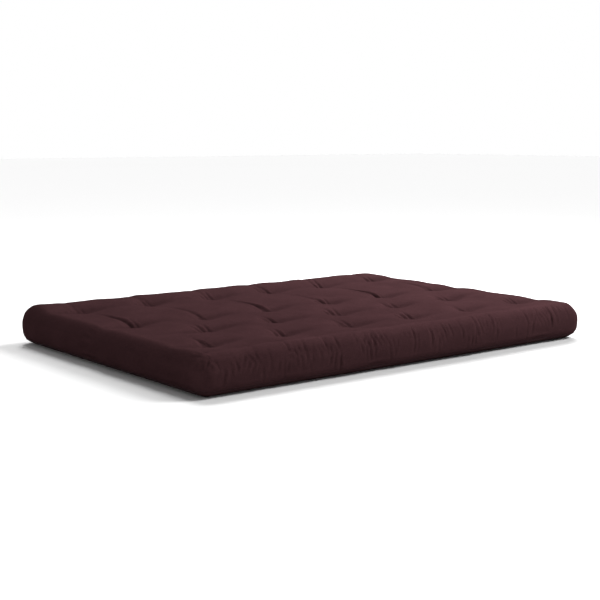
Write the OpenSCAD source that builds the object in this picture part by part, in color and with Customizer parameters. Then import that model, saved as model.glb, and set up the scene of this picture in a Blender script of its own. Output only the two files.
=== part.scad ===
// Tufted futon mattress for a two-part folding bed base.
// The origin is on the floor under the middle, X runs along the long side, the front is at -Y.
// Every layer is cut at the fold, so that the seat part and the back part can hinge.

/* [Overall size] */
// Length along the front edge, over the filled sides
mattress_l = 2020; // [1900:10:2100]
// Depth from the front edge to the back edge, over the filled sides
mattress_w = 1420; // [1380:10:1600]
// Thickness between the two flat faces
mattress_h = 160; // [140:1:180]

/* [Edges] */
// Radius of the top edges
top_edge_r = 75; // [55:1:80]
// Radius of the bottom edges
bottom_edge_r = 50; // [35:1:55]
// Radius of the four corners in plan
corner_r = 60; // [55:1:100]
// Flat facets in each quarter round
edge_facets = 6; // [3:1:8]

/* [Cover] */
// Thickness of the cover cloth
cloth_t = 1.6; // [1.2:0.1:2.4]
// Height of the seam between the top piece and the bottom piece
seam_z = 10; // [8:0.5:14]
// Width of the seam allowance turned to the inside
allowance_w = 12; // [8:1:16]
// Length of the opening at the back that is sewn up by hand
closing_l = 450; // [300:10:600]
// Distance between the closing stitches
stitch_pitch = 15; // [10:1:25]

/* [Filling] */
// Thickness of one sheet of cotton batting
batting_h = 18; // [12:1:18]
// Sheets of batting on each side of the foam core
battings = 3; // [2:1:3]

/* [Tufting] */
// Distance of each row of tufts from the front edge
tuft_rows = [220, 485, 750, 1200]; // [100:5:1300]
// Row that stands half a pitch over and has one tuft fewer, counted from the front
staggered_row = 2; // [1:1:4]
// Tufts in a full row
row_tufts = 6; // [5:1:7]
// Distance between tufts along a row
tuft_pitch = 333; // [280:1:340]
// Thickness of the tufting twine
twine_t = 2; // [1.8:0.1:3]
// Width of the loop of twine
loop_w = 10; // [8:1:14]

/* [Fold] */
// Depth of the seat part, from the front edge to the fold
seat_depth = 815; // [780:5:860]
// Gap between the cut faces at the fold
fold_gap = 0.6; // [0.4:0.1:2]

/* [Hidden] */
front_y = -mattress_w / 2;
fold_y = front_y + seat_depth;
// The foam core takes the height that the batting leaves
foam_h = mattress_h - 2 * cloth_t - 2 * battings * batting_h;
// Clear of every outline, for the boxes that cut
reach = mattress_l + mattress_w;
// How far the bottom rounding pulls the side in at the seam
seam_inset = bottom_edge_r - sqrt(pow(bottom_edge_r, 2) - pow(bottom_edge_r - seam_z, 2));
// Height and thickness of a closing stitch, which crosses the seam
stitch_h = 9;
stitch_t = 1.5;

cloth_colour = "#4e3538";
seam_colour = "#3f2a2d";
batting_colour = "#e8e0cc";
foam_colour = "#efdca4";
twine_colour = "#33201f";

function tufts_in(row) = row_tufts - (row == staggered_row ? 1 : 0);

// Centres of the tufts in one row, counted from 1 at the front
function row_points(row) = [
    for (k = [0 : tufts_in(row) - 1])
        [(k - (tufts_in(row) - 1) / 2) * tuft_pitch, front_y + tuft_rows[row - 1]]
];
tuft_points = [for (row = [1 : 4]) each row_points(row)];
seat_tufts = [for (p = tuft_points) if (p[1] < fold_y) p];
back_tufts = [for (p = tuft_points) if (p[1] > fold_y) p];

// Both ends of a part in Y, with the fold's gap taken off
seat_span = [-reach, fold_y - fold_gap / 2];
back_span = [fold_y + fold_gap / 2, reach];

// Height of the underside of a batting sheet
function batting_floor(k) = cloth_t + (k - 1) * batting_h + (k > battings ? foam_h : 0);

// Points of a quarter round about a centre, which ends a quarter turn after the start angle
function quarter(centre, r, start) = [
    for (k = [0 : edge_facets])
        let (a = start + 90 * k / edge_facets)
        [centre[0] + r * cos(a), centre[1] + r * sin(a)]
];

// Cross-section of the mattress, pulled in by an inset on every side
function section(width, inset) =
    let (
        low_x = width / 2 - bottom_edge_r,
        high_x = width / 2 - top_edge_r,
        high_z = mattress_h - top_edge_r
    )
    concat(
        quarter([low_x, bottom_edge_r], bottom_edge_r - inset, -90),
        quarter([high_x, high_z], top_edge_r - inset, 0),
        quarter([-high_x, high_z], top_edge_r - inset, 90),
        quarter([-low_x, bottom_edge_r], bottom_edge_r - inset, 180)
    );

// Plan of the mattress, pulled in by an inset on every side
function plan(inset) =
    let (x = mattress_l / 2 - corner_r, y = mattress_w / 2 - corner_r, r = corner_r - inset)
    concat(
        quarter([x, -y], r, -90),
        quarter([x, y], r, 0),
        quarter([-x, y], r, 90),
        quarter([-x, -y], r, 180)
    );

// The whole outer form, or the space inside the cover when the inset is the cloth's thickness
module form(inset) {
    intersection() {
        rotate([90, 0, 90])
            linear_extrude(height = mattress_l, center = true)
                polygon(section(mattress_w, inset));
        rotate([90, 0, 0])
            linear_extrude(height = mattress_w, center = true)
                polygon(section(mattress_l, inset));
        linear_extrude(height = mattress_h)
            polygon(plan(inset));
    }
}

// A box that keeps what lies between two heights on one side of the fold
module keep(low_z, high_z, span) {
    translate([-reach / 2, span[0], low_z])
        cube([reach, span[1] - span[0], high_z - low_z]);
}

// One loop of twine, down through every layer and back up
module tie_loop(point) {
    translate([point[0], point[1], mattress_h / 2])
        difference() {
            cube([loop_w, twine_t, mattress_h], center = true);
            cube([loop_w - 2 * twine_t, 2 * twine_t, mattress_h - 2 * twine_t], center = true);
        }
}

module tie_loops(points) {
    for (p = points) tie_loop(p);
}

// The cut through the cover for each closing stitch, across the seam at the back
module stitch_slots() {
    count = floor(closing_l / stitch_pitch);
    for (k = [0 : count])
        translate([(k - count / 2) * stitch_pitch, mattress_w / 2, seam_z])
            cube([stitch_t, 2 * bottom_edge_r, stitch_h], center = true);
}

// The cloth between two heights, with the holes that the twine is drawn through
module cover_piece(low_z, high_z, span, points) {
    difference() {
        intersection() {
            difference() {
                form(0);
                form(cloth_t);
            }
            keep(low_z, high_z, span);
        }
        tie_loops(points);
        stitch_slots();
    }
}

// The two cloth edges of the bottom seam, turned in and laid flat
module seam_strip(span) {
    intersection() {
        difference() {
            form(cloth_t);
            translate([0, 0, -1])
                linear_extrude(height = mattress_h)
                    polygon(plan(seam_inset + cloth_t + allowance_w));
        }
        keep(seam_z - cloth_t, seam_z + cloth_t, span);
    }
}

// A sheet of filling, which fills the cover between two heights
module filling_sheet(low_z, high_z, span, points) {
    difference() {
        intersection() {
            form(cloth_t);
            keep(low_z, high_z, span);
        }
        tie_loops(points);
        if (low_z < seam_z) seam_strip(span);
    }
}

// Batting sheets are counted from the bottom, and the foam lies in the middle
module batting(k, span, points) {
    color(batting_colour)
        filling_sheet(batting_floor(k), batting_floor(k) + batting_h, span, points);
}

module foam_core(span, points) {
    color(foam_colour)
        filling_sheet(batting_floor(battings + 1) - foam_h, batting_floor(battings + 1), span, points);
}

module top_cover(span, points) {
    color(cloth_colour)
        cover_piece(seam_z, mattress_h, span, points);
}

module bottom_panel(span, points) {
    color(cloth_colour)
        cover_piece(0, seam_z, span, points);
}

module seam_allowance(span) {
    color(seam_colour)
        seam_strip(span);
}

module closing_stitches() {
    color(twine_colour)
        intersection() {
            difference() {
                form(0);
                form(cloth_t);
            }
            stitch_slots();
        }
}

module tuft_tie(point) {
    color(twine_colour)
        tie_loop(point);
}

top_cover(seat_span, seat_tufts);  // seat_top_cover
top_cover(back_span, back_tufts);  // back_top_cover
bottom_panel(seat_span, seat_tufts);  // seat_bottom_panel
bottom_panel(back_span, back_tufts);  // back_bottom_panel
seam_allowance(seat_span);  // seat_seam_allowance
seam_allowance(back_span);  // back_seam_allowance
closing_stitches();
foam_core(seat_span, seat_tufts);  // seat_foam_core
foam_core(back_span, back_tufts);  // back_foam_core
for (k = [1 : 2 * battings]) {
    batting(k, seat_span, seat_tufts);
    batting(k, back_span, back_tufts);
}
for (k = [1 : len(seat_tufts)])
    tuft_tie(seat_tufts[k - 1]);
for (k = [1 : len(back_tufts)])
    tuft_tie(back_tufts[k - 1]);
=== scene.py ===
import math
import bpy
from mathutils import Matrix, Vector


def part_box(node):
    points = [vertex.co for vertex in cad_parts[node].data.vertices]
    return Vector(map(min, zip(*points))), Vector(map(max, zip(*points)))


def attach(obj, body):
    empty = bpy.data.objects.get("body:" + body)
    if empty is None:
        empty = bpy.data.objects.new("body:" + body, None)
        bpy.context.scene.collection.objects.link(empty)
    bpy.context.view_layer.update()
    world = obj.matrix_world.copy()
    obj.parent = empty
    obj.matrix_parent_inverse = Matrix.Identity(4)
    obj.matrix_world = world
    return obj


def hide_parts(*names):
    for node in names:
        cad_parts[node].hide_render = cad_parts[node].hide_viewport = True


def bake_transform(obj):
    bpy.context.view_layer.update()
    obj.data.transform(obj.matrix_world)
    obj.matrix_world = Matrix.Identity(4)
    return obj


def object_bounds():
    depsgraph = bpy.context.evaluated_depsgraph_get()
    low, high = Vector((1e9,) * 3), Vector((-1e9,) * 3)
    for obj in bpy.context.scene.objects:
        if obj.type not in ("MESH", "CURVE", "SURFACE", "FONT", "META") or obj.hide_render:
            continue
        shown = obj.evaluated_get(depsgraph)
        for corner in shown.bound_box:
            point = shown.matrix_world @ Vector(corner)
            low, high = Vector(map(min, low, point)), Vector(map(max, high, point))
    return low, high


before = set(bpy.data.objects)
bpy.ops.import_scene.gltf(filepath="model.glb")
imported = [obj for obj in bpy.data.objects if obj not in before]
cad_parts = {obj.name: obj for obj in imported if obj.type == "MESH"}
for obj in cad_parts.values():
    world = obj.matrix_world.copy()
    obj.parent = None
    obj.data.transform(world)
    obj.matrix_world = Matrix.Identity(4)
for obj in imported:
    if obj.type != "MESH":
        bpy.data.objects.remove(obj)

from types import SimpleNamespace

import bpy
import numpy as np
from mathutils import Vector

# The whole futon mattress: a tufted cotton cover, cotton batting and a foam core.
# Metres everywhere. X runs along the front edge, the front is at -Y, the floor is at z = 0.

# ---- sizes from the frame

CAD_LOW, CAD_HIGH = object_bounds()
HALF_X = CAD_HIGH.x
HALF_Y = CAD_HIGH.y
HEIGHT = CAD_HIGH.z
SEAM_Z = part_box("seat_top_cover")[0].z
SEAT_TIES = sorted(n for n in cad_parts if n.startswith("seat_tuft_tie_"))
BACK_TIES = sorted(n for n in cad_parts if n.startswith("back_tuft_tie_"))
BATTINGS = range(1, 7)

# Radii of the edges, a little softer in plan than the CAD facets
CORNER_R = 0.052
TOP_R = 0.069
BOTTOM_R = 0.050
# How far the filling swells the sides out at half height
SIDE_SWELL = 0.012
CORE_LOW = np.array([-HALF_X + CORNER_R, -HALF_Y + CORNER_R, BOTTOM_R])
CORE_HIGH = np.array([HALF_X - CORNER_R, HALF_Y - CORNER_R, HEIGHT - TOP_R])

# Heights of the top of the cover: the filled rim at the back, between the tufts, in a tuft
CROWN_Z = 0.1722
FIELD_Z = 0.1575
TUFT_Z = 0.131
# No part of the filling stands higher than this
HIGHEST_Z = 0.1738
# Height of the underside where a tie pulls it up
UNDER_TUFT_Z = 0.012
CLOTH_T = 0.0015

TINY = 1e-9


def node_centre(name):
    """The middle of a CAD node's box."""
    low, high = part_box(name)
    return (low + high) / 2


TUFTS = [tuple(node_centre(name)[:2]) for name in SEAT_TIES + BACK_TIES]
# Less than the distance between two rows of tufts
ROW_MARGIN = 0.1
BACK_TUFT_Y = max(y for x, y in TUFTS)
THIRD_ROW_Y = max(y for x, y in TUFTS if y < BACK_TUFT_Y - ROW_MARGIN)
# Tufts farther from the middle than this stand next to an end
END_TUFT_X = 0.6


# ---- small numeric helpers

def smooth_step(low, high, value):
    """Rises smoothly from 0 at the low value to 1 at the high one."""
    t = np.clip((value - low) / (high - low), 0, 1)
    return t * t * (3 - 2 * t)


def waves(x, y, size, count, seed):
    """A sum of sine waves of about one size that run every way, whatever their number."""
    rng = np.random.default_rng(seed)
    total = np.zeros(np.broadcast(x, y).shape)
    for _ in range(count):
        angle = rng.uniform(0, 2 * math.pi)
        rate = 2 * math.pi * rng.uniform(0.6, 1.4) / size
        along = x * math.cos(angle) + y * math.sin(angle)
        total += np.sin(rate * along + rng.uniform(0, 2 * math.pi))
    return total / math.sqrt(count)


def unit(vectors):
    """Vectors of the same direction and length 1."""
    return vectors / np.maximum(np.linalg.norm(vectors, axis=-1, keepdims=True), TINY)


def facing(out, axis):
    """1 where the surface faces along an axis, either way, and 0 where it lies along it."""
    return smooth_step(0.5, 0.9, np.abs(out[..., axis]))


def round_form(box_points):
    """Points of the plain box moved to the form with round edges, and the way out at each."""
    core = np.clip(box_points, CORE_LOW, CORE_HIGH)
    away = box_points - core
    radius = np.full(away.shape, CORNER_R)
    radius[..., 2] = np.where(away[..., 2] >= 0, TOP_R, BOTTOM_R)
    cube = np.tan(np.clip(away / radius, -1, 1) * math.pi / 4)
    largest = np.abs(cube).max(-1, keepdims=True)
    length = np.linalg.norm(cube, axis=-1, keepdims=True)
    ball = cube * largest / np.maximum(length, TINY)
    place = core + ball * radius
    swell = SIDE_SWELL * np.sin(math.pi * np.clip(place[..., 2:] / HEIGHT, 0, 1))
    place[..., :2] += ball[..., :2] * swell
    return place, unit(ball / radius)


# ---- the filling's own shape

# Shares of a tuft's depth that go to a wide bowl, a small pit and a valley along Y
BOWL_SHARE = 0.30
PIT_SHARE = 0.30
VALLEY_Y_SHARE = 0.14
# How far the bowl reaches behind a tuft and in front of it, and the sizes of the rest
BOWL_BACK = 0.060
BOWL_FRONT = 0.130
PIT_R = 0.030
FRONT_WALL = 0.048
VALLEY_Y_HALF = 0.018
UNDER_DENT_R = 0.045
# How much lower the filling lies at the left end
SLUMP = 0.006
# Where the filling rises, from Y to Y and from X to X: to the back rim, and to the right end
RIM_RISE = (0.48, 0.63)
RIGHT_RISE = (0.70, 0.86)
# Height of the right end as a share of the rim's, at the front and what is added at the back
RIGHT_SHARE = (0.60, 0.35)


def make_dents():
    """Each tuft's hollow: its reach each way, its valley along X and the width of its bowl."""
    rng = np.random.default_rng(57)
    dents = []
    for x, y in TUFTS:
        in_back_row = y > BACK_TUFT_Y - ROW_MARGIN
        in_back_half = y > THIRD_ROW_Y - ROW_MARGIN
        dents.append(SimpleNamespace(
            x=x,
            y=y,
            left=0.17 if x < -END_TUFT_X else 0.050,
            right=(0.17 if x > END_TUFT_X else 0.125) * rng.uniform(0.80, 1.25),
            front=0.16 if in_back_row else 0.09,
            back=0.24 if in_back_half else 0.11,
            valley=rng.uniform(0.34, 0.56),
            wall=rng.uniform(0.024, 0.038),
            tilt=rng.uniform(-0.12, 0.08),
            wide=rng.uniform(0.085, 0.130),
        ))
    return dents


DENTS = make_dents()


def falloff(distance, reach, power):
    """1 at the middle, falling to about a third at the reach."""
    return np.exp(-(np.abs(distance) / reach) ** power)


def dimple(x, y, dent):
    """Share of a tuft's full depth near it: a bowl, a pit, a valley along X and one along Y."""
    dx, dy = x - dent.x, y - dent.y
    off = dy - dent.tilt * dx
    reach_x = np.where(dx > 0, dent.right, dent.left)
    reach_y = np.where(dy > 0, dent.back, dent.front)
    bowl_y = np.where(dy > 0, BOWL_BACK, BOWL_FRONT)
    wall = np.where(off > 0, dent.wall, FRONT_WALL)
    bowl = BOWL_SHARE * np.exp(-(dx / dent.wide) ** 2 - (dy / bowl_y) ** 2)
    pit = PIT_SHARE * falloff(np.hypot(dx, dy), PIT_R, 1.2)
    valley_x = dent.valley * falloff(off, wall, 1.3) * falloff(dx, reach_x, 2.4)
    valley_y = VALLEY_Y_SHARE * falloff(dx, VALLEY_Y_HALF, 1.2) * falloff(dy, reach_y, 2)
    return bowl + pit + valley_x + valley_y


def tuft_depth(x, y):
    """Share of the full depth that all the tufts together pull the top down."""
    stays = np.ones_like(x)
    for dent in DENTS:
        stays *= 1 - np.clip(dimple(x, y, dent), 0, 0.999)
    return 1 - stays


def behind_middle(y):
    """0 over the front part of the mattress, rising to 1 at the back rim."""
    return smooth_step(0.10, 0.62, y)


def full_height(x, y):
    """Height of the filling between the tufts: low in the field, high at the back and the right."""
    at_back = smooth_step(*RIM_RISE, y)
    at_right = (RIGHT_SHARE[0] + RIGHT_SHARE[1] * behind_middle(y)) * smooth_step(*RIGHT_RISE, x)
    return FIELD_Z + (CROWN_Z - FIELD_Z) * np.maximum(at_back, at_right)


def top_lift(x, y):
    """How far the filled top stands above the plain form, less what the tufts take."""
    from_end = HALF_X - np.abs(x)
    from_side = HALF_Y - np.abs(y)
    behind = behind_middle(y)
    full = full_height(x, y)
    slump = np.where(x < 0, SLUMP, 0.0) * (1 - smooth_step(0.02, 0.30, from_end)) * (1 - behind)
    end_fall = smooth_step(-0.03, 0.22 - 0.14 * behind, from_end)
    crown = (full - HEIGHT) * smooth_step(-0.02, 0.09, from_side) * end_fall - slump
    inside = smooth_step(-0.01, 0.06, np.minimum(from_end, from_side))
    return crown - (full - TUFT_Z) * tuft_depth(x, y) * inside


def under_lift(x, y):
    """How far the ties pull the underside up."""
    lift = np.zeros_like(x)
    for tuft_x, tuft_y in TUFTS:
        away = np.hypot(x - tuft_x, y - tuft_y)
        lift = np.maximum(lift, UNDER_TUFT_Z * falloff(away, UNDER_DENT_R, 1.4))
    return lift


def settled(box_points):
    """Points anywhere in the plain box, moved to where they lie in the filled mattress."""
    place, _ = round_form(box_points)
    share = np.clip(place[..., 2] / HEIGHT, 0, 1)
    x, y = place[..., 0], place[..., 1]
    place[..., 2] += top_lift(x, y) * share + under_lift(x, y) * (1 - share)
    return place


# ---- the sheet of cloth, unfolded

def unfolded_lines(half, step, depth, rows):
    """Grid lines across one axis of the box and down both sides: place, drop, cloth length."""
    across = np.linspace(-half, half, round(2 * half / step) + 1)
    down = np.linspace(0, depth, rows + 1)[1:]
    place = np.concatenate([np.full(rows, -half), across, np.full(rows, half)])
    drop = np.concatenate([down[::-1], np.zeros(len(across)), down])
    return place, drop, place + np.sign(place) * drop


def unfold(step_x, step_y, depth, rows, face_z, towards):
    """The grid of one cover piece, with its corner blocks cut out and its corner seams paired."""
    place_x, drop_x, cloth_x = unfolded_lines(HALF_X, step_x, depth, rows)
    place_y, drop_y, cloth_y = unfolded_lines(HALF_Y, step_y, depth, rows)
    count_x, count_y = len(place_x), len(place_y)
    cloth = ~((drop_x[:, None] > 0) & (drop_y[None, :] > 0))
    drop = np.maximum(drop_x[:, None], drop_y[None, :])
    box = np.empty((count_x, count_y, 3))
    box[..., 0] = place_x[:, None]
    box[..., 1] = place_y[None, :]
    box[..., 2] = face_z + towards * drop
    left, right = rows, count_x - 1 - rows
    front, back = rows, count_y - 1 - rows
    first, second = [], []
    for k in range(1, rows + 1):
        first += [(left - k, front), (right + k, front), (left - k, back), (right + k, back)]
        second += [(left, front - k), (right, front - k), (left, back + k), (right, back + k)]
    cells = cloth[:-1, :-1] & cloth[1:, :-1] & cloth[:-1, 1:] & cloth[1:, 1:]
    return SimpleNamespace(
        box=box,
        cloth=cloth,
        cells=cells,
        rows=rows,
        cloth_x=cloth_x,
        cloth_y=cloth_y,
        seam_a=tuple(np.array(first).T),
        seam_b=tuple(np.array(second).T),
    )


def ring(sheet, row):
    """Grid places of the closed loop that lies some rows above the cover piece's border."""
    count_x, count_y = sheet.cloth.shape
    xs = np.arange(sheet.rows, count_x - sheet.rows)
    ys = np.arange(sheet.rows, count_y - sheet.rows)
    right = np.full(len(ys) - 1, count_x - 1 - row)
    left = np.full(len(ys) - 2, row)
    front = np.full(len(xs), row)
    back = np.full(len(xs) - 1, count_y - 1 - row)
    i = np.concatenate([xs, right, xs[::-1][1:], left])
    j = np.concatenate([front, ys[1:], back, ys[::-1][1:-1]])
    return i, j


# ---- the cover's cloth simulation

# Stiffness of the cloth along its threads, on the slant and in bending
STRETCH = 0.22
SHEAR = 0.05
BENDING = 0.0014
# How hard the filling pushes back where pressed, holds cloth that lifts, rubs and puffs
PRESS = 0.02
LIFT = 0.006
RUB = 0.0015
FILL_PRESSURE = 3e-6
# Share of its speed that the cloth keeps at each step, and the number of steps
DAMPING = 0.97
STEPS = 1200
# Half the piece of cloth that one tuft stitch gathers up, and the share of it that is left
GATHERED = (0.0105, 0.006)
GATHER_SHARE = (0.5, 0.6)
# How far the twine sinks into the cloth
STITCH_BITE = 0.001
# Shares of spare length along X: in the field, at a tuft and in the gathers
SPARE_FIELD = 0.004
SPARE_TUFT = 0.04
SPARE_GATHERS = 0.042
# Shares of spare length along Y, at the ends and elsewhere, and up the sides
SPARE_Y_END = 0.003
SPARE_Y = 0.008
SPARE_UP = 0.008
# How much tighter the cloth is at the ends, and up the left end where the filling slumps
TIGHT_END = 0.016
TIGHT_SLUMP = 0.040
# Shares of the front's gathers that the back edge and the tops of the edges have
BACK_GATHERS = 0.5
TOP_GATHERS = 0.6
# How far the spare cloth round a tuft reaches along X and along Y
TUFT_SPARE_REACH = (0.06, 0.07)


def nearness_to_tufts(x, y):
    """1 at each tuft, falling to nothing within 0.15 m."""
    near = np.zeros_like(x)
    for tuft_x, tuft_y in TUFTS:
        away = ((x - tuft_x) / TUFT_SPARE_REACH[0]) ** 2 + ((y - tuft_y) / TUFT_SPARE_REACH[1]) ** 2
        near = np.maximum(near, np.exp(-away))
    return near


def gathered_share(x, y, out):
    """Where the cloth is gathered: down the long sides and just over their top edges."""
    end = facing(out, 0)
    edge_top = 1 - smooth_step(0.03, 0.14, HALF_Y - np.abs(y))
    gathered = np.maximum(facing(out, 1), TOP_GATHERS * edge_top * (1 - end))
    gathered = gathered * np.where(y < 0, 1.0, BACK_GATHERS) * (1 - end)
    return gathered * smooth_step(0.03, 0.15, HALF_X - np.abs(x))


def spare_cloth(x, y, z, out, gathered):
    """Share of spare length in the cloth along X, Y and Z."""
    end = facing(out, 0)
    uneven = np.clip(0.7 + 1.1 * waves(x, 0.6 * y, 0.10, 14, 8), 0.0, 2.6)
    lowest = 0.045 + 0.045 * waves(x, 0 * y, 0.05, 14, 9)
    tight = 1 - smooth_step(0.03, 0.20, HALF_X - np.abs(x))
    on_top = SPARE_FIELD - TIGHT_END * tight + SPARE_TUFT * nearness_to_tufts(x, y)
    along_x = on_top * (1 - facing(out, 1))
    along_x += SPARE_GATHERS * smooth_step(lowest, lowest + 0.08, z) * uneven * gathered
    along_y = SPARE_Y * (1 - end) + SPARE_Y_END * end
    up = SPARE_UP - TIGHT_SLUMP * smooth_step(0.70, 0.97, -x) * (1 - behind_middle(y))
    return np.stack([along_x, along_y, up], -1)


def springs(sheet, rest, spare):
    """The families of threads and diagonals: both ends, stiffness and rest length."""
    families = []
    count_x, count_y = sheet.cloth.shape
    for di, dj, stiffness in ((1, 0, STRETCH), (0, 1, STRETCH), (1, 1, SHEAR), (1, -1, SHEAR)):
        a = (slice(0, count_x - di), slice(max(0, -dj), count_y - max(0, dj)))
        b = (slice(di, count_x), slice(max(0, dj), count_y + min(0, dj)))
        woven = sheet.cloth[a] & sheet.cloth[b]
        if dj != 0 and di != 0:
            woven = woven & sheet.cells
        cut = (rest[b] - rest[a]) * (1 + 0.5 * (spare[a] + spare[b]))
        length = np.linalg.norm(cut, axis=-1)
        families.append((a, b, np.where(woven & (length > TINY), stiffness, 0), length))
    return families


def bends(sheet, rest):
    """Runs of three points along each axis, which hold the cloth's curve."""
    runs = []
    for axis in (0, 1):
        count = sheet.cloth.shape[axis]
        places = []
        for k in range(3):
            part = slice(k, count - 2 + k)
            places.append((part, slice(None)) if axis == 0 else (slice(None), part))
        a, b, c = places
        woven = sheet.cloth[a] & sheet.cloth[b] & sheet.cloth[c]
        runs.append((a, b, c, (woven * BENDING)[..., None], rest[a] - 2 * rest[b] + rest[c]))
    return runs


def pins(sheet, rest, out):
    """The points that the bottom seam and the tuft stitches hold, and where."""
    held = np.zeros(sheet.cloth.shape, bool)
    held[0, :] = held[-1, :] = True
    held[:, 0] = held[:, -1] = True
    goal = rest.copy()
    for tuft_x, tuft_y in TUFTS:
        dx = rest[..., 0] - tuft_x
        dy = rest[..., 1] - tuft_y
        near = (out[..., 2] > 0.9) & (np.abs(dx) < GATHERED[0]) & (np.abs(dy) < GATHERED[1])
        held |= near
        goal[near, 0] = tuft_x + dx[near] * GATHER_SHARE[0]
        goal[near, 1] = tuft_y + dy[near] * GATHER_SHARE[1]
        goal[near, 2] = TUFT_Z - STITCH_BITE
    return held, goal


# Heights of the filling's unevenness: everywhere broad and fine, along the long edges and ends
SWELLS = 0.0013
RIPPLES = 0.0006
EDGE_LUMPS = 0.0022
END_LUMPS = 0.0036
# How far the far left corner is plumped out
PLUMP = 0.0085
# Heights of the first ripples and tucks of the cloth
FIRST_RIPPLES = 0.0006
FIRST_TUCKS = 0.0024


def filling_surface(rest, out):
    """The surface of the filling: the round form with its tufts, lumps and plump far left corner."""
    x, y, z = np.moveaxis(rest, -1, 0)
    filling = rest + out * (SWELLS * waves(x, y + z, 0.45, 8, 5))[..., None]
    filling += out * (RIPPLES * waves(x, y + z, 0.13, 12, 6))[..., None]
    at_edge = 1 - smooth_step(0.02, 0.16, HALF_Y - np.abs(y))
    filling += out * (EDGE_LUMPS * waves(x, 0.5 * (y + z), 0.20, 12, 16) * at_edge)[..., None]
    at_end = 1 - smooth_step(0.02, 0.18, HALF_X - np.abs(x))
    at_end = at_end * smooth_step(0.03, 0.20, HALF_Y - np.abs(y))
    filling += out * (END_LUMPS * waves(0.5 * (x + z), y, 0.24, 12, 17) * at_end)[..., None]
    far_left = smooth_step(0.35, 0.66, y) * (1 - smooth_step(0.0, 0.16, HALF_X + x))
    filling += out * (PLUMP * far_left * smooth_step(0.1, 0.6, out[..., 2]))[..., None]
    filling[..., 2] += top_lift(x, y) * np.clip(out[..., 2], 0, 1)
    filling[..., 2] = np.minimum(filling[..., 2], HIGHEST_Z)
    return filling


def first_tucks(rest, gathered):
    """Height of the small tucks from which the cloth starts to buckle."""
    x, y, z = np.moveaxis(rest, -1, 0)
    start = FIRST_RIPPLES * waves(x, y + z, 0.035, 40, 7)
    slant = x + 0.06 * waves(x, 0 * y, 0.5, 5, 10) * (z + y)
    groups = np.clip(1 + 0.9 * waves(x, 0 * y, 0.11, 9, 4), 0, 3)
    tucks = waves(slant, 0 * y, 0.029, 60, 3) * groups
    return start + FIRST_TUCKS * tucks * gathered


def thread_forces(place, families, runs):
    """The pull of every thread and diagonal, and the push of every bend."""
    force = np.zeros_like(place)
    for a, b, stiffness, length in families:
        reach = place[b] - place[a]
        now = np.sqrt(np.einsum("ijk,ijk->ij", reach, reach)) + TINY
        pull = reach * (stiffness * (1 - length / now))[..., None]
        force[a] += pull
        force[b] -= pull
    for a, b, c, stiffness, curve in runs:
        bent = (place[a] - 2 * place[b] + place[c] - curve) * stiffness
        force[a] -= bent
        force[b] += 2 * bent
        force[c] -= bent
    return force


def even_seams(values, sheet):
    """Gives both sides of each corner seam their mean."""
    values[sheet.seam_a] = values[sheet.seam_b] = 0.5 * (values[sheet.seam_a] + values[sheet.seam_b])


def settle(sheet, place, rest, out, filling, free, spare):
    """Moves the cloth step by step towards where its threads and the filling hold it."""
    families = springs(sheet, rest, spare)
    runs = bends(sheet, rest)
    speed = np.zeros_like(place)
    for _ in range(STEPS):
        force = thread_forces(place, families, runs)
        off = place - filling
        height = np.einsum("ijk,ijk->ij", off, out)
        force -= RUB * (off - height[..., None] * out)
        force += out * (FILL_PRESSURE - np.where(height < 0, PRESS, LIFT) * height)[..., None]
        even_seams(force, sheet)
        speed = (speed + force) * DAMPING * free
        place = place + speed
        even_seams(place, sheet)
    return place


def drape(sheet):
    """Lays the unfolded cloth, with its spare length, over the filling."""
    rest, out = round_form(sheet.box)
    x, y, z = np.moveaxis(rest, -1, 0)
    gathered = gathered_share(x, y, out)
    filling = filling_surface(rest, out)
    held, goal = pins(sheet, rest, out)
    place = filling + out * first_tucks(rest, gathered)[..., None]
    place[held] = goal[held]
    free = (sheet.cloth & ~held)[..., None].astype(float)
    spare = spare_cloth(x, y, z, out, gathered)
    place = settle(sheet, place, rest, out, filling, free, spare)
    return place, rest, out, gathered


# ---- creases pressed into the cover

# Half the width of a crease behind a tuft, of a long one and of one over an edge
TUFT_CREASE = 0.0062
LONG_CREASE = 0.0095
EDGE_CREASE = 0.0050
# Height of the two ridges beside a crease, as a share of its depth
RIDGE_SHARE = 0.30
# The cloth this close to a crease is drawn into its line
DRAW_REACH = 0.0034
# The creases of the back row's tufts to the left of this are faint
FAINT_X = -0.4
FAINT_SHARE = 0.4
# No edge crease starts closer to a corner than this
CORNER_GAP = 0.06
# Depth of the long creases behind the third row, and the share of it at each tuft from the left
LONG_DEPTH = 0.0095
LONG_SHARES = (0.8, 0.3, 0.9, 0.25, 1.2, 0.4)


def crease(x, line, deep, fade, half):
    """One sharp crease along a line x: how deep it goes, and how far it draws the cloth in."""
    away = x - line
    valley = falloff(away, half, 1.7)
    ridges = np.exp(-((np.abs(away) - 2.1 * half) / half) ** 2)
    draw = -away * falloff(away, DRAW_REACH, 6)
    return deep * fade * (valley - RIDGE_SHARE * ridges), draw * (fade > 0.02)


def tuft_creases(x, y):
    """The two or three short creases that run back from each tuft."""
    rng = np.random.default_rng(21)
    creases = []
    for tuft_x, tuft_y in TUFTS:
        faint = tuft_y > BACK_TUFT_Y - ROW_MARGIN and tuft_x < FAINT_X
        strength = FAINT_SHARE if faint else 1.0
        count = rng.integers(2, 4)
        for k in range(count):
            offset = (k - (count - 1) / 2) * rng.uniform(0.016, 0.021)
            lean = rng.uniform(-0.15, 0.15) + offset * 7
            length = rng.uniform(0.075, 0.150)
            deep = rng.uniform(0.0040, 0.0070) * strength
            along = y - tuft_y
            line = tuft_x + offset + lean * along + rng.uniform(-1.5, 1.5) * along ** 2
            fade = smooth_step(-0.018, 0.006, along) * (1 - smooth_step(0.15 * length, length, along))
            creases.append(crease(x, line, deep, fade, TUFT_CREASE))
    return creases


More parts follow.
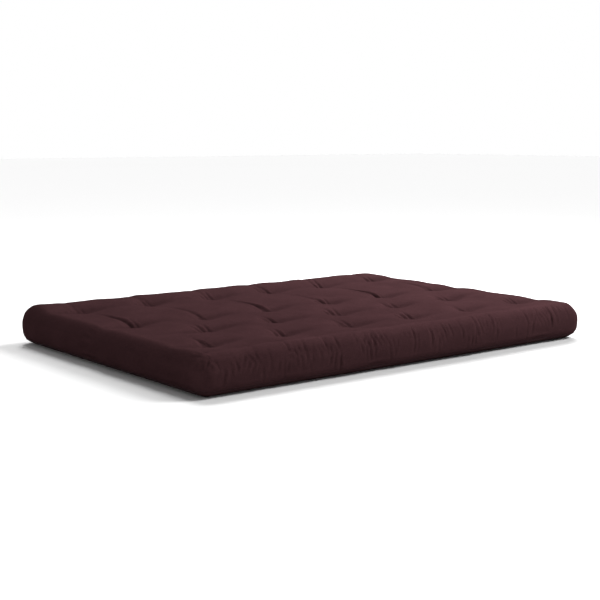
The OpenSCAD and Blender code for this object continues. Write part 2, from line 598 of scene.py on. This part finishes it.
def long_creases(x, y):
    """The curved creases that run from the third row back towards the last one."""
    span = BACK_TUFT_Y - THIRD_ROW_Y
    row = sorted(tx for tx, ty in TUFTS if abs(ty - THIRD_ROW_Y) < ROW_MARGIN)
    creases = []
    for tuft_x, share in zip(row, LONG_SHARES):
        t = (y - THIRD_ROW_Y) / span
        bow = 0.018 * np.sin(math.pi * np.clip(t, 0, 1)) - 0.008
        fade = smooth_step(0.0, 0.05, t) * (1 - smooth_step(0.25, 0.78, t))
        creases.append(crease(x, tuft_x + bow, LONG_DEPTH * share, fade, LONG_CREASE))
    return creases


def edge_creases(x, z, gathered, count, seed):
    """Single sharp creases that run down over one long edge."""
    rng = np.random.default_rng(seed)
    creases = []
    for _ in range(count):
        at = rng.uniform(-HALF_X + CORNER_GAP, HALF_X - CORNER_GAP)
        lean = rng.uniform(-0.14, 0.14)
        middle = rng.uniform(0.060, 0.150)
        half = rng.uniform(0.020, 0.060)
        deep = rng.uniform(0.0014, 0.0040)
        down = (z - middle) / half
        fade = np.clip(1 - down ** 2, 0, 1) * np.clip(gathered * 1.6, 0, 1)
        creases.append(crease(x, at + lean * (z - middle), deep, fade, EDGE_CREASE))
    return creases


def crease_cover(place, rest, out, gathered):
    """Presses every crease into the settled cover."""
    x, y, z = np.moveaxis(rest, -1, 0)
    top = smooth_step(0.5, 0.9, out[..., 2])
    groups = (
        (tuft_creases(x, y), top),
        (long_creases(x, y), top),
        (edge_creases(x, z, gathered, count=84, seed=35), y < 0),
        (edge_creases(x, z, gathered, count=36, seed=36), y > 0),
    )
    place = place.copy()
    for creases, share in groups:
        for deep, draw in creases:
            place -= out * (deep * share)[..., None]
            place[..., 0] += draw * (share > 0.5)
    return place


# ---- meshes

def mesh_object(name, points, faces):
    """A smooth-shaded mesh in the scene."""
    mesh = bpy.data.meshes.new(name)
    mesh.from_pydata(np.asarray(points, float).tolist(), [], [list(map(int, f)) for f in faces])
    mesh.update()
    mesh.polygons.foreach_set("use_smooth", [True] * len(mesh.polygons))
    piece = bpy.data.objects.new(name, mesh)
    bpy.context.scene.collection.objects.link(piece)
    return piece


def cloth_object(name, sheet, place, crest, outward_up):
    """The mesh of one cover piece, with the lengths along its cloth in the map called cloth."""
    index = np.full(sheet.cloth.shape, -1)
    index[sheet.cloth] = np.arange(int(sheet.cloth.sum()))
    index[sheet.seam_b] = index[sheet.seam_a]
    used = np.unique(index[sheet.cloth])
    compact = np.full(int(sheet.cloth.sum()), -1)
    compact[used] = np.arange(len(used))
    order = ((0, 0), (1, 0), (1, 1), (0, 1)) if outward_up else ((0, 0), (0, 1), (1, 1), (1, 0))
    i, j = np.nonzero(sheet.cells)
    faces = np.stack([compact[index[i + di, j + dj]] for di, dj in order], -1)
    lengths = np.stack([
        np.stack([sheet.cloth_x[i + di], sheet.cloth_y[j + dj]], -1) for di, dj in order
    ], 1)
    piece = mesh_object(name, place[sheet.cloth][used], faces)
    layer = piece.data.uv_layers.new(name="cloth")
    layer.data.foreach_set("uv", lengths.astype(np.float32).ravel())
    # Carried into the cover's colour: wear lightens the crests, painted shade darkens the folds.
    crest_layer = piece.data.attributes.new("crest", "FLOAT", "POINT")
    crest_layer.data.foreach_set("value", crest[sheet.cloth][used].astype(np.float32))
    return piece


# A point that stands this far out from its neighbours is a full crest
FULL_CREST = 0.0016


def crest_of(place, out):
    """How much each point stands out from its neighbours: 1 on a sharp ridge, -1 in a fold."""
    around = np.zeros_like(place)
    for axis in (0, 1):
        for shift in (-2, 2):
            around += np.roll(place, shift, axis) / 4
    return np.clip(np.einsum("ijk,ijk->ij", place - around, out) / FULL_CREST, -1, 1)


def thicken(piece, thickness):
    """Gives a cover piece its thickness, inwards."""
    shell = piece.modifiers.new("thickness", "SOLIDIFY")
    shell.thickness = thickness
    shell.offset = -1
    shell.use_even_offset = False


# A direction that no thread runs along, from which the sides of a tube are measured
ODD_WAY = (0.3, 0.5, 0.81)
# Radius of a tube's cut ends, as a share of its radius
TIP_SHARE = 0.55


def skin(rings, sides, closed):
    """The faces between rings of points that follow one another."""
    faces = []
    for k in range(rings if closed else rings - 1):
        a, b = k * sides, (k + 1) % rings * sides
        for s in range(sides):
            t = (s + 1) % sides
            faces.append((a + s, a + t, b + t, b + s))
    return faces


def tube(points, radius, sides, closed=False):
    """Points and faces of a tube along a line, with narrowed ends unless the line is a loop."""
    line = np.asarray(points, float)
    ahead = np.roll(line, -1, 0) - np.roll(line, 1, 0)
    if not closed:
        ahead[0] = line[1] - line[0]
        ahead[-1] = line[-1] - line[-2]
    ahead = unit(ahead)
    side = unit(np.cross(ahead, ODD_WAY))
    over = np.cross(ahead, side)
    radii = np.full(len(line), float(radius))
    if not closed:
        radii[[0, -1]] *= TIP_SHARE
    turn = np.linspace(0, 2 * math.pi, sides, endpoint=False)[None, :, None]
    around = side[:, None] * np.cos(turn) + over[:, None] * np.sin(turn)
    verts = (line[:, None] + around * radii[:, None, None]).reshape(-1, 3)
    faces = skin(len(line), sides, closed)
    if not closed:
        last = (len(line) - 1) * sides
        faces.append(tuple(range(sides))[::-1])
        faces.append(tuple(range(last, last + sides)))
    return verts, faces


def joined(parts):
    """Points and faces of several parts as one mesh."""
    points, faces, start = [], [], 0
    for verts, part_faces in parts:
        points.append(verts)
        faces += [tuple(start + v for v in face) for face in part_faces]
        start += len(verts)
    return np.concatenate(points), faces


# ---- materials

# The wave texture has one rib to a unit at this scale, 2 pi / 20
ONE_RIB = 0.314


class Finish:
    """One material that is put together from nodes."""

    def __init__(self, name, roughness, sheen=0.006, sheen_tint=(1, 1, 1, 1)):
        self.material = bpy.data.materials.new(name)
        self.material.use_nodes = True
        self.nodes = self.material.node_tree.nodes
        self.links = self.material.node_tree.links
        self.shader = self.nodes["Principled BSDF"]
        self.shader.inputs["Roughness"].default_value = roughness
        self.shader.inputs["Specular IOR Level"].default_value = 0.0
        self.shader.inputs["Sheen Weight"].default_value = sheen
        self.shader.inputs["Sheen Roughness"].default_value = 0.45
        self.shader.inputs["Sheen Tint"].default_value = sheen_tint

    def add(self, kind, inputs=None, **settings):
        """A node whose inputs are linked or set."""
        node = self.nodes.new("ShaderNode" + kind)
        for name, value in settings.items():
            setattr(node, name, value)
        for name, value in (inputs or {}).items():
            if hasattr(value, "is_linked"):
                self.links.new(value, node.inputs[name])
            else:
                node.inputs[name].default_value = value
        return node

    def stretched(self, vector, scale, turn=0.0):
        """The coordinates turned in the plane and scaled per axis."""
        node = self.add("Mapping", {"Vector": vector, "Scale": scale, "Rotation": (0, 0, turn)})
        return node.outputs["Vector"]

    def noise(self, vector, scale, detail=2.0, distortion=0.0):
        inputs = {"Vector": vector, "Scale": scale, "Detail": detail, "Distortion": distortion}
        return self.add("TexNoise", inputs).outputs["Fac"]

    def ribs(self, vector):
        """Fine round ribs across the first axis, one to every unit."""
        inputs = {"Vector": vector, "Scale": ONE_RIB}
        return self.add("TexWave", inputs, wave_profile="SIN").outputs["Fac"]

    def maths(self, operation, a, b, c=0.0):
        return self.add("Math", {0: a, 1: b, 2: c}, operation=operation).outputs[0]

    def between(self, value, low, high, from_low=0.0, from_high=1.0):
        inputs = {"Value": value, "From Min": from_low, "From Max": from_high}
        inputs.update({"To Min": low, "To Max": high})
        return self.add("MapRange", inputs).outputs["Result"]

    def colours(self, value, stops):
        """A run of colours, each at its place from 0 to 1."""
        node = self.add("ValToRGB", {"Fac": value})
        elements = node.color_ramp.elements
        for element, (place, colour) in zip(elements, (stops[0], stops[-1])):
            element.position = place
            element.color = (*colour, 1)
        for place, colour in stops[1:-1]:
            elements.new(place).color = (*colour, 1)
        return node.outputs["Color"]

    def finish(self, colour, height, distance, strength=1.0, roughness=None):
        """Links the colour, the relief and the roughness to the shader."""
        self.links.new(colour, self.shader.inputs["Base Color"])
        bump = self.add("Bump", {"Height": height, "Strength": strength, "Distance": distance})
        self.links.new(bump.outputs["Normal"], self.shader.inputs["Normal"])
        if roughness is not None:
            self.links.new(roughness, self.shader.inputs["Roughness"])
        return self.material


def shade(colour, factor):
    """A darker or lighter shade of a colour."""
    return tuple(min(1.0, c * factor) for c in colour)


def cover_cloth(name, colour):
    """Dyed cotton twill: slanted ribs, slubby threads, a melange of tones, wear that lightens the
    crests and painted shade that darkens the folds.
    """
    f = Finish(name, 0.86, sheen_tint=(0.85, 0.45, 0.50, 1))
    cloth = f.add("UVMap", uv_map="cloth").outputs["UV"]
    ribs_per_metre = 1150
    threads_per_metre = 1900
    twill = f.ribs(f.stretched(cloth, (ribs_per_metre,) * 3, math.radians(63)))
    warp = f.ribs(f.stretched(cloth, (threads_per_metre,) * 3))
    slub_x = f.noise(f.stretched(cloth, (40, 600, 1)), 1.0, 3.0)
    slub_y = f.noise(f.stretched(cloth, (600, 40, 1)), 1.0, 3.0)
    slub = f.maths("MULTIPLY", f.maths("ADD", slub_x, slub_y), 0.5)
    melange = f.noise(cloth, 260.0, 4.0)
    patches = f.noise(cloth, 5.0, 4.0)
    tone = f.maths("MULTIPLY_ADD", melange, 0.34, f.maths("MULTIPLY", slub, 0.46))
    tone = f.maths("MULTIPLY_ADD", patches, 0.20, tone)
    crest = f.add("Attribute", attribute_name="crest").outputs["Fac"]
    # Lighter on the crests as wear, darker in the folds as painted shade.
    tone = f.maths("MULTIPLY_ADD", crest, 0.07, tone)
    tones = ((0.26, 0.55), (0.44, 0.88), (0.56, 1.14), (0.76, 1.75))
    dye_wear_and_fold_shade = f.colours(tone, [(place, shade(colour, factor)) for place, factor in tones])
    weave = f.maths("MULTIPLY_ADD", warp, 0.35, twill)
    relief = f.maths("MULTIPLY_ADD", slub, 2.2, weave)
    rough = f.between(patches, 0.80, 0.93)
    return f.finish(dye_wear_and_fold_shade, relief, 0.00025, 0.8, rough)


def cotton(name):
    """Cotton batting: matted fibres with seed flecks."""
    f = Finish(name, 0.95, sheen=0.3)
    place = f.add("TexCoord").outputs["Object"]
    fibres_a = f.noise(f.stretched(place, (60, 900, 900), 0.5), 1.0, 4.0, 0.6)
    fibres_b = f.noise(f.stretched(place, (900, 60, 900), 0.2), 1.0, 4.0, 0.6)
    fibres = f.maths("MAXIMUM", fibres_a, fibres_b)
    lumps = f.noise(place, 35.0, 3.0)
    flecks = f.noise(place, 320.0, 1.0)
    seeds = f.between(flecks, 0.0, 0.35, 0.72, 0.78)
    matted = f.maths("MULTIPLY_ADD", lumps, 0.4, f.maths("MULTIPLY", fibres, 0.6))
    tone = f.maths("SUBTRACT", matted, seeds)
    tones = ((0.1, (0.42, 0.34, 0.22)), (0.4, (0.70, 0.64, 0.50)), (0.7, (0.86, 0.82, 0.71)))
    colour = f.colours(tone, tones)
    return f.finish(colour, f.maths("MULTIPLY_ADD", lumps, 3.0, fibres), 0.002, 0.9)


def foam(name):
    """Open-cell foam: small pits and faint yellowing."""
    f = Finish(name, 0.9)
    place = f.add("TexCoord").outputs["Object"]
    cells = f.add("TexVoronoi", {"Vector": place, "Scale": 520.0}).outputs["Distance"]
    large = f.add("TexVoronoi", {"Vector": place, "Scale": 190.0}).outputs["Distance"]
    aged = f.noise(place, 9.0, 3.0)
    tone = f.maths("MULTIPLY_ADD", cells, 0.5, f.maths("MULTIPLY", aged, 0.6))
    tones = ((0.25, (0.60, 0.47, 0.20)), (0.5, (0.78, 0.66, 0.36)), (0.8, (0.88, 0.79, 0.53)))
    colour = f.colours(tone, tones)
    relief = f.maths("MULTIPLY_ADD", large, 1.5, cells)
    return f.finish(colour, relief, 0.0012, 0.9)


def thread(name, colour, pitch):
    """Waxed cotton thread: fine fibres, with painted shade in the hollows between them."""
    f = Finish(name, 0.62, sheen=0.1)
    place = f.add("TexCoord").outputs["Object"]
    fibres = f.noise(f.stretched(place, (1 / pitch, 1 / pitch, 0.25 / pitch), 0.6), 1.0, 4.0, 0.8)
    wear = f.noise(place, 130.0, 3.0)
    # The fibres that raise the relief also set the tone: painted shade in the hollows.
    tone = f.maths("MULTIPLY_ADD", wear, 0.4, f.maths("MULTIPLY", fibres, 0.6))
    tones = ((0.3, shade(colour, 0.55)), (0.5, colour), (0.72, shade(colour, 1.9)))
    return f.finish(f.colours(tone, tones), fibres, 0.0003, 0.9, f.between(wear, 0.5, 0.78))


def pale_floor(name):
    """A matt studio floor: nearly white, and greyer on the right, where the lamps stand."""
    f = Finish(name, 0.9)
    place = f.add("TexCoord").outputs["Object"]
    reach = 4.5
    centre = (1.2, -0.8)
    moved = (-centre[0] / reach, -centre[1] / reach, 0)
    around = f.add("Mapping", {"Vector": place, "Scale": (1 / reach,) * 3, "Location": moved})
    ball = f.add("TexGradient", {"Vector": around.outputs["Vector"]}, gradient_type="SPHERICAL")
    tone = f.maths("MULTIPLY_ADD", f.noise(place, 0.6, 3.0), 0.02, ball.outputs["Fac"])
    greys = ((0.01, 0.96), (0.33, 0.84), (0.56, 0.64), (0.78, 0.46), (0.99, 0.40))
    colour = f.colours(tone, [(at, (grey,) * 3) for at, grey in greys])
    return f.finish(colour, f.noise(place, 160.0, 2.0), 0.0002, 0.2)


AUBERGINE = (0.0294, 0.0131, 0.0145)
MATERIALS = {
    "cover_cloth": cover_cloth("cover_cloth", AUBERGINE),
    # The same cloth as the cover, a tenth darker: painted shade on the underside.
    "bottom_cloth": cover_cloth("bottom_cloth", shade(AUBERGINE, 0.9)),
    "seam_cloth": thread("seam_cloth", shade(AUBERGINE, 0.8), 0.0011),
    "cotton_batting": cotton("cotton_batting"),
    "foam": foam("foam"),
    "twine": thread("twine", (0.028, 0.014, 0.013), 0.0007),
    "seam_thread": thread("seam_thread", (0.030, 0.014, 0.015), 0.0005),
}


def dress(piece, slot, body=None, replaces=()):
    """Gives a piece its material, its slot and its body, and hides the CAD nodes that it stands for.
    """
    piece.data.materials.append(MATERIALS[slot])
    if body is None:
        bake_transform(piece)
    else:
        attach(piece, body)
    if replaces:
        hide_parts(*replaces)
    return piece


# ---- pieces

# Distance between the grid lines of the cover pieces along X and along Y
TOP_GRID = (0.0060, 0.0142)
BOTTOM_GRID = (0.0120, 0.0142)


def make_cover_top():
    """The top piece of the cover, which runs over all four edges down to the bottom seam."""
    sheet = unfold(*TOP_GRID, depth=HEIGHT - SEAM_Z, rows=16, face_z=HEIGHT, towards=-1)
    place, rest, out, gathered = drape(sheet)
    place = crease_cover(place, rest, out, gathered)
    piece = cloth_object("cover_top", sheet, place, crest_of(place, out), True)
    thicken(piece, CLOTH_T)
    dress(piece, "cover_cloth", replaces=("seat_top_cover", "back_top_cover"))
    return sheet, place, out


def make_cover_bottom():
    """The bottom panel, which turns up to the same seam and is drawn up a little at each tie."""
    sheet = unfold(*BOTTOM_GRID, depth=SEAM_Z, rows=2, face_z=0.0, towards=1)
    rest, out = round_form(sheet.box)
    x, y = rest[..., 0], rest[..., 1]
    flat = np.clip(-out[..., 2], 0, 1)
    place = rest.copy()
    place[..., 2] += under_lift(x, y) * flat
    place[..., 2] += 0.0004 * np.abs(waves(x, y, 0.11, 14, 12)) * flat
    piece = cloth_object("cover_bottom", sheet, place, crest_of(place, out), False)
    thicken(piece, CLOTH_T)
    dress(piece, "bottom_cloth", replaces=("seat_bottom_panel", "back_bottom_panel"))


# How far the filling stays inside the plain box, and the distance between its grid lines
FILLING_INSET = 0.012
FILLING_STEP = 0.020
# How far the middle of a sheet's edge stands out
EDGE_BULGE = 0.003
# Gap left on each side between two sheets of filling
SHEET_GAP = 0.0008


def slab(name, low, high):
    """A closed sheet of filling between two heights of the plain box, with a bulging edge."""
    half_x, half_y = HALF_X - FILLING_INSET, HALF_Y - FILLING_INSET
    count_x, count_y = round(2 * half_x / FILLING_STEP), round(2 * half_y / FILLING_STEP)
    line_x = np.linspace(-half_x, half_x, count_x + 1)
    line_y = np.linspace(-half_y, half_y, count_y + 1)
    x, y = np.meshgrid(line_x, line_y, indexing="ij")
    edge = np.minimum(half_x - np.abs(x), half_y - np.abs(y))
    pinch = 0.30 * (high - low) * (1 - smooth_step(0, 1.5 * FILLING_STEP, edge))
    rough = 0.0005 * waves(x, y, 0.05, 20, int(low * 1e4))
    points = []
    for z in (low + pinch + rough, high - pinch + rough):
        kept = np.clip(z, FILLING_INSET, HEIGHT - FILLING_INSET)
        points.append(settled(np.stack([x, y, kept], -1)).reshape(-1, 3))
    wide_x, wide_y = x * (1 + EDGE_BULGE / half_x), y * (1 + EDGE_BULGE / half_y)
    middle = settled(np.stack([wide_x, wide_y, 0 * x + (low + high) / 2], -1))
    index = np.arange(x.size).reshape(x.shape)
    top_start, middle_start = x.size, 2 * x.size
    a, b, c, d = index[:-1, :-1], index[1:, :-1], index[1:, 1:], index[:-1, 1:]
    faces = np.stack([a, d, c, b], -1).reshape(-1, 4).tolist()
    faces += (np.stack([a, b, c, d], -1).reshape(-1, 4) + top_start).tolist()
    rim = np.concatenate([index[:, 0], index[-1, 1:], index[::-1, -1][1:], index[0, ::-1][1:-1]])
    points.append(middle.reshape(-1, 3)[rim])
    for k in range(len(rim)):
        after = (k + 1) % len(rim)
        here, there = middle_start + k, middle_start + after
        faces.append((rim[k], rim[after], there, here))
        faces.append((here, there, top_start + rim[after], top_start + rim[k]))
    return mesh_object(name, np.concatenate(points), faces)


def make_filling():
    """Three sheets of batting, the foam core and three more sheets, as in the CAD."""
    layers = [(f"batting_{k}", "cotton_batting", 0.7) for k in BATTINGS]
    layers.insert(len(BATTINGS) // 2, ("foam_core", "foam", 1.0))
    for name, slot, fill in layers:
        low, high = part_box("seat_" + name)
        piece = slab(name, low.z + SHEET_GAP, high.z - SHEET_GAP)
        dress(piece, slot, replaces=("seat_" + name, "back_" + name))


def make_seam(sheet, place, out):
    """The seam allowance inside the bottom seam, with the fold of cloth that shows outside."""
    i, j = ring(sheet, 0)
    line = place[i, j]
    flat_out = unit(out[i, j] * np.array([1, 1, 0]))
    up = np.array([0, 0, 1.0])
    flutter = 0.0006 * waves(line[:, 0], line[:, 1], 0.06, 12, 31)
    upper = ((0.0008, 0.0013), (-0.003, 0.0016), (-0.013, 0.0012))
    lower = tuple((away, -rise) for away, rise in upper[::-1])
    outline = ((0.0012, 0.0), *upper, *lower)
    rings = []
    for away, rise in outline:
        lift = rise + flutter * (away < -0.005)
        rings.append(line + flat_out * away + up * lift[:, None])
    points = np.stack(rings, 1).reshape(-1, 3)
    # The outline runs the other way round than a tube's, so each face is turned over
    faces = [(face[0], *face[:0:-1]) for face in skin(len(line), len(outline), closed=True)]
    piece = mesh_object("seam_allowance", points, faces)
    dress(piece, "seam_cloth", replaces=("seat_seam_allowance", "back_seam_allowance"))


def evenly(line, pitch):
    """Places at one distance along a closed line, and the way ahead at each."""
    closed = np.concatenate([line, line[:1]])
    steps = np.linalg.norm(np.diff(closed, axis=0), axis=1)
    along = np.concatenate([[0], np.cumsum(steps)])
    count = round(along[-1] / pitch)
    wanted = np.arange(count) * along[-1] / count
    places = np.stack([np.interp(wanted, along, closed[:, k]) for k in range(3)], -1)
    return places, unit(np.roll(places, -1, 0) - np.roll(places, 1, 0))


# The lock stitches of the seam: distance, half a stitch's length and the thread's radius
SEAM_PITCH = 0.0065
SEAM_STITCH_HALF = 0.0021
SEAM_THREAD_R = 0.00045
# The hand stitches that close the back: how many, half the height of one, lean and radius
CLOSING_COUNT = 31
CLOSING_HALF = 0.0042
CLOSING_LEAN = 0.0018
CLOSING_TWINE_R = 0.00075


def make_seam_stitches(sheet, place):
    """A row of lock stitches just above the bottom seam, all the way round."""
    i, j = ring(sheet, 0)
    up_i, up_j = ring(sheet, 1)
    line = 0.55 * place[i, j] + 0.45 * place[up_i, up_j]
    places, ahead = evenly(line, SEAM_PITCH)
    flat_out = np.cross(ahead, [0, 0, 1.0])
    parts = []
    for centre, way, flat in zip(places, ahead, flat_out):
        outward = unit(flat * 0.8 + np.array([0, 0, -0.6]))
        stitch = []
        for t in (-1, -0.5, 0.5, 1):
            rise = 0.0005 * (1 - t * t * 1.4)
            stitch.append(centre + way * SEAM_STITCH_HALF * t + outward * rise)
        parts.append(tube(stitch, SEAM_THREAD_R, 5))
    piece = mesh_object("seam_stitches", *joined(parts))
    dress(piece, "seam_thread")


def make_closing_stitches(sheet, place):
    """The hand-sewn stitches across the seam at the back, where the filling went in."""
    low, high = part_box("closing_stitches")
    back = place.shape[1] - 1
    inside = slice(sheet.rows, place.shape[0] - sheet.rows)
    edge, next_row = place[inside, back], place[inside, back - 1]
    lean = np.array([CLOSING_LEAN, 0, 0])
    parts = []
    for x in np.linspace(low.x, high.x, CLOSING_COUNT):
        seam = np.array([np.interp(x, edge[:, 0], edge[:, k]) for k in range(3)])
        above = np.array([np.interp(x, edge[:, 0], next_row[:, k]) for k in range(3)])
        climb = unit(above - seam)
        outward = unit(np.cross(climb, [-1.0, 0, 0]))
        stitch = []
        for t in (-1.0, -0.85, -0.4, 0.2, 0.8, 1.0):
            lift = 0.0016 * (1 - t * t) - 0.0006 * (abs(t) == 1)
            stitch.append(seam + climb * CLOSING_HALF * t + lean * t + outward * (lift + 0.0004))
        parts.append(tube(stitch, CLOSING_TWINE_R, 8))
    piece = mesh_object("closing_stitches_thread", *joined(parts))
    dress(piece, "twine", "back", replaces=("closing_stitches",))


def rounded_loop(width, low, high, bend, pitch):
    """Even points of an upright loop in X and Z with round corners, and the way ahead at each."""
    side = width / 2 - bend
    corners = (
        (side, high - bend, 0), (-side, high - bend, 90),
        (-side, low + bend, 180), (side, low + bend, 270),
    )
    points = []
    for centre_x, centre_z, start in corners:
        for k in range(7):
            angle = math.radians(start + 15 * k)
            points.append((centre_x + bend * math.cos(angle), 0, centre_z + bend * math.sin(angle)))
    return evenly(np.array(points), pitch)


def twisted(line, ahead, ply_radius, turn_length, pitch):
    """Two plies that wind round a closed line."""
    across = np.array([0, 1.0, 0])
    over = np.cross(ahead, across)
    turns = max(1, round(len(line) * pitch / turn_length))
    angle = np.linspace(0, 2 * math.pi * turns, len(line), endpoint=False)
    parts = []
    for ply in (0, math.pi):
        wind = across * np.cos(angle + ply)[:, None] + over * np.sin(angle + ply)[:, None]
        parts.append(tube(line + wind * ply_radius, ply_radius * 1.08, 6, closed=True))
    return parts


def knot(centre, size, radius, turn):
    """A small overhand knot and its two cut tails."""
    t = np.linspace(0, 2 * math.pi, 40, endpoint=False)
    trefoil = np.stack([
        np.sin(t) + 2 * np.sin(2 * t), np.cos(t) - 2 * np.cos(2 * t), -1.1 * np.sin(3 * t),
    ], -1) / 3
    cos, sin = math.cos(turn), math.sin(turn)
    spin = np.array([[cos, -sin, 0], [sin, cos, 0], [0, 0, 1]])
    parts = [tube(centre + (trefoil * size) @ spin.T, radius, 6, closed=True)]
    for side in (-1, 1):
        tail = []
        for s in np.linspace(0, 1, 7):
            tail.append((side * (0.6 * size + 0.011 * s), side * 0.004 * s * s, -0.0012 * s))
        parts.append(tube(centre + np.array(tail) @ spin.T, radius, 6))
    return parts


# The loop of a tie: its width, the bend at its corners and the distance between its points
LOOP_WIDTH = 0.0085
LOOP_BEND = 0.0014
TIE_PITCH = 0.0030
# Radius of one ply of the twine, and the length of one full twist
PLY_R = 0.00055
TWIST_LENGTH = 0.009
# How far a knot hangs below the cover, its size and its twine's radius
KNOT_DROP = 0.0045
KNOT_SIZE = 0.0026
KNOT_TWINE_R = 0.00075


def make_ties():
    """One loop of two-ply twine for each tuft, knotted under the mattress."""
    rng = np.random.default_rng(44)
    for name in SEAT_TIES + BACK_TIES:
        x, y, _ = node_centre(name)
        low, high = UNDER_TUFT_Z - 0.0012, TUFT_Z + 0.0010
        line, ahead = rounded_loop(LOOP_WIDTH, low, high, LOOP_BEND, TIE_PITCH)
        line = line + np.array([x, y, 0])
        parts = twisted(line, ahead, PLY_R, TWIST_LENGTH, TIE_PITCH)
        place = np.array([x, y, UNDER_TUFT_Z - KNOT_DROP])
        parts += knot(place, KNOT_SIZE, KNOT_TWINE_R, rng.uniform(0, math.pi))
        piece = mesh_object(name.replace("tuft_tie", "tie"), *joined(parts))
        dress(piece, "twine", name.split("_")[0], replaces=(name,))


# ---- stage, light and camera

def make_floor():
    """A wide flat floor just below the mattress."""
    reach = 40.0
    points = [(-reach, -reach, 0), (reach, -reach, 0), (reach, reach, 0), (-reach, reach, 0)]
    floor = mesh_object("floor", points, [(0, 1, 2, 3)])
    floor.location.z = -0.0005
    floor.data.materials.append(pale_floor("pale_floor"))


def studio_world():
    """A sky that is white near the horizon and dimmer overhead, so that the lamps shape things."""
    world = bpy.data.worlds.new("studio")
    world.use_nodes = True
    nodes, links = world.node_tree.nodes, world.node_tree.links
    split = nodes.new("ShaderNodeSeparateXYZ")
    links.new(nodes.new("ShaderNodeTexCoord").outputs["Generated"], split.inputs[0])
    fall = nodes.new("ShaderNodeMapRange")
    limits = {"From Min": 0.14, "From Max": 0.40, "To Min": 1.0, "To Max": 0.33}
    for name, value in limits.items():
        fall.inputs[name].default_value = value
    links.new(split.outputs["Z"], fall.inputs["Value"])
    links.new(fall.outputs["Result"], nodes["Background"].inputs["Strength"])
    nodes["Background"].inputs["Color"].default_value = (1, 1, 1, 1)
    bpy.context.scene.world = world


def aimed(data, place, towards):
    """Puts a lamp or the camera into the scene, looking in a direction."""
    thing = bpy.data.objects.new(data.name, data)
    thing.location = place
    thing.rotation_euler = Vector(towards).to_track_quat("-Z", "Y").to_euler()
    bpy.context.scene.collection.objects.link(thing)
    return thing


def soft_sun(name, towards, softness, power):
    """A far lamp with a wide disc, which lights the whole floor alike."""
    light = bpy.data.lights.new(name, "SUN")
    light.angle = math.radians(softness)
    light.energy = power
    aimed(light, (0, 0, 0), towards)


def soft_panel(name, place, target, size, power):
    """A square lamp that stands near the object."""
    light = bpy.data.lights.new(name, "AREA")
    light.size = size
    light.energy = power
    aimed(light, place, Vector(target) - Vector(place))


def make_lights():
    """A panel on the right, whose light dies away to the left, a sun behind and a high fill."""
    soft_sun("sun", towards=(-0.30, -0.52, -0.80), softness=25, power=2.4)
    soft_panel("key", place=(3.0, 0.8, 2.0), target=(0.4, 0.0, 0.1), size=1.4, power=222)
    soft_panel("fill", place=(2.7, -2.5, 3.2), target=(0.7, -0.7, 0.1), size=1.6, power=275)
    studio_world()
    bpy.context.scene.view_settings.view_transform = "Standard"


def make_camera():
    """The viewing angle from the front left, a little above the mattress."""
    lens = bpy.data.cameras.new("camera")
    lens.sensor_width = 36
    lens.lens = 68.93
    camera = aimed(lens, (-3.1184, -3.9159, 0.8922), (0.6140, 0.7766, -0.1409))
    bpy.context.scene.camera = camera


make_camera()
make_lights()
make_floor()
cover_sheet, cover_place, cover_out = make_cover_top()
make_cover_bottom()
make_seam(cover_sheet, cover_place, cover_out)
make_seam_stitches(cover_sheet, cover_place)
make_closing_stitches(cover_sheet, cover_place)
make_filling()
make_ties()
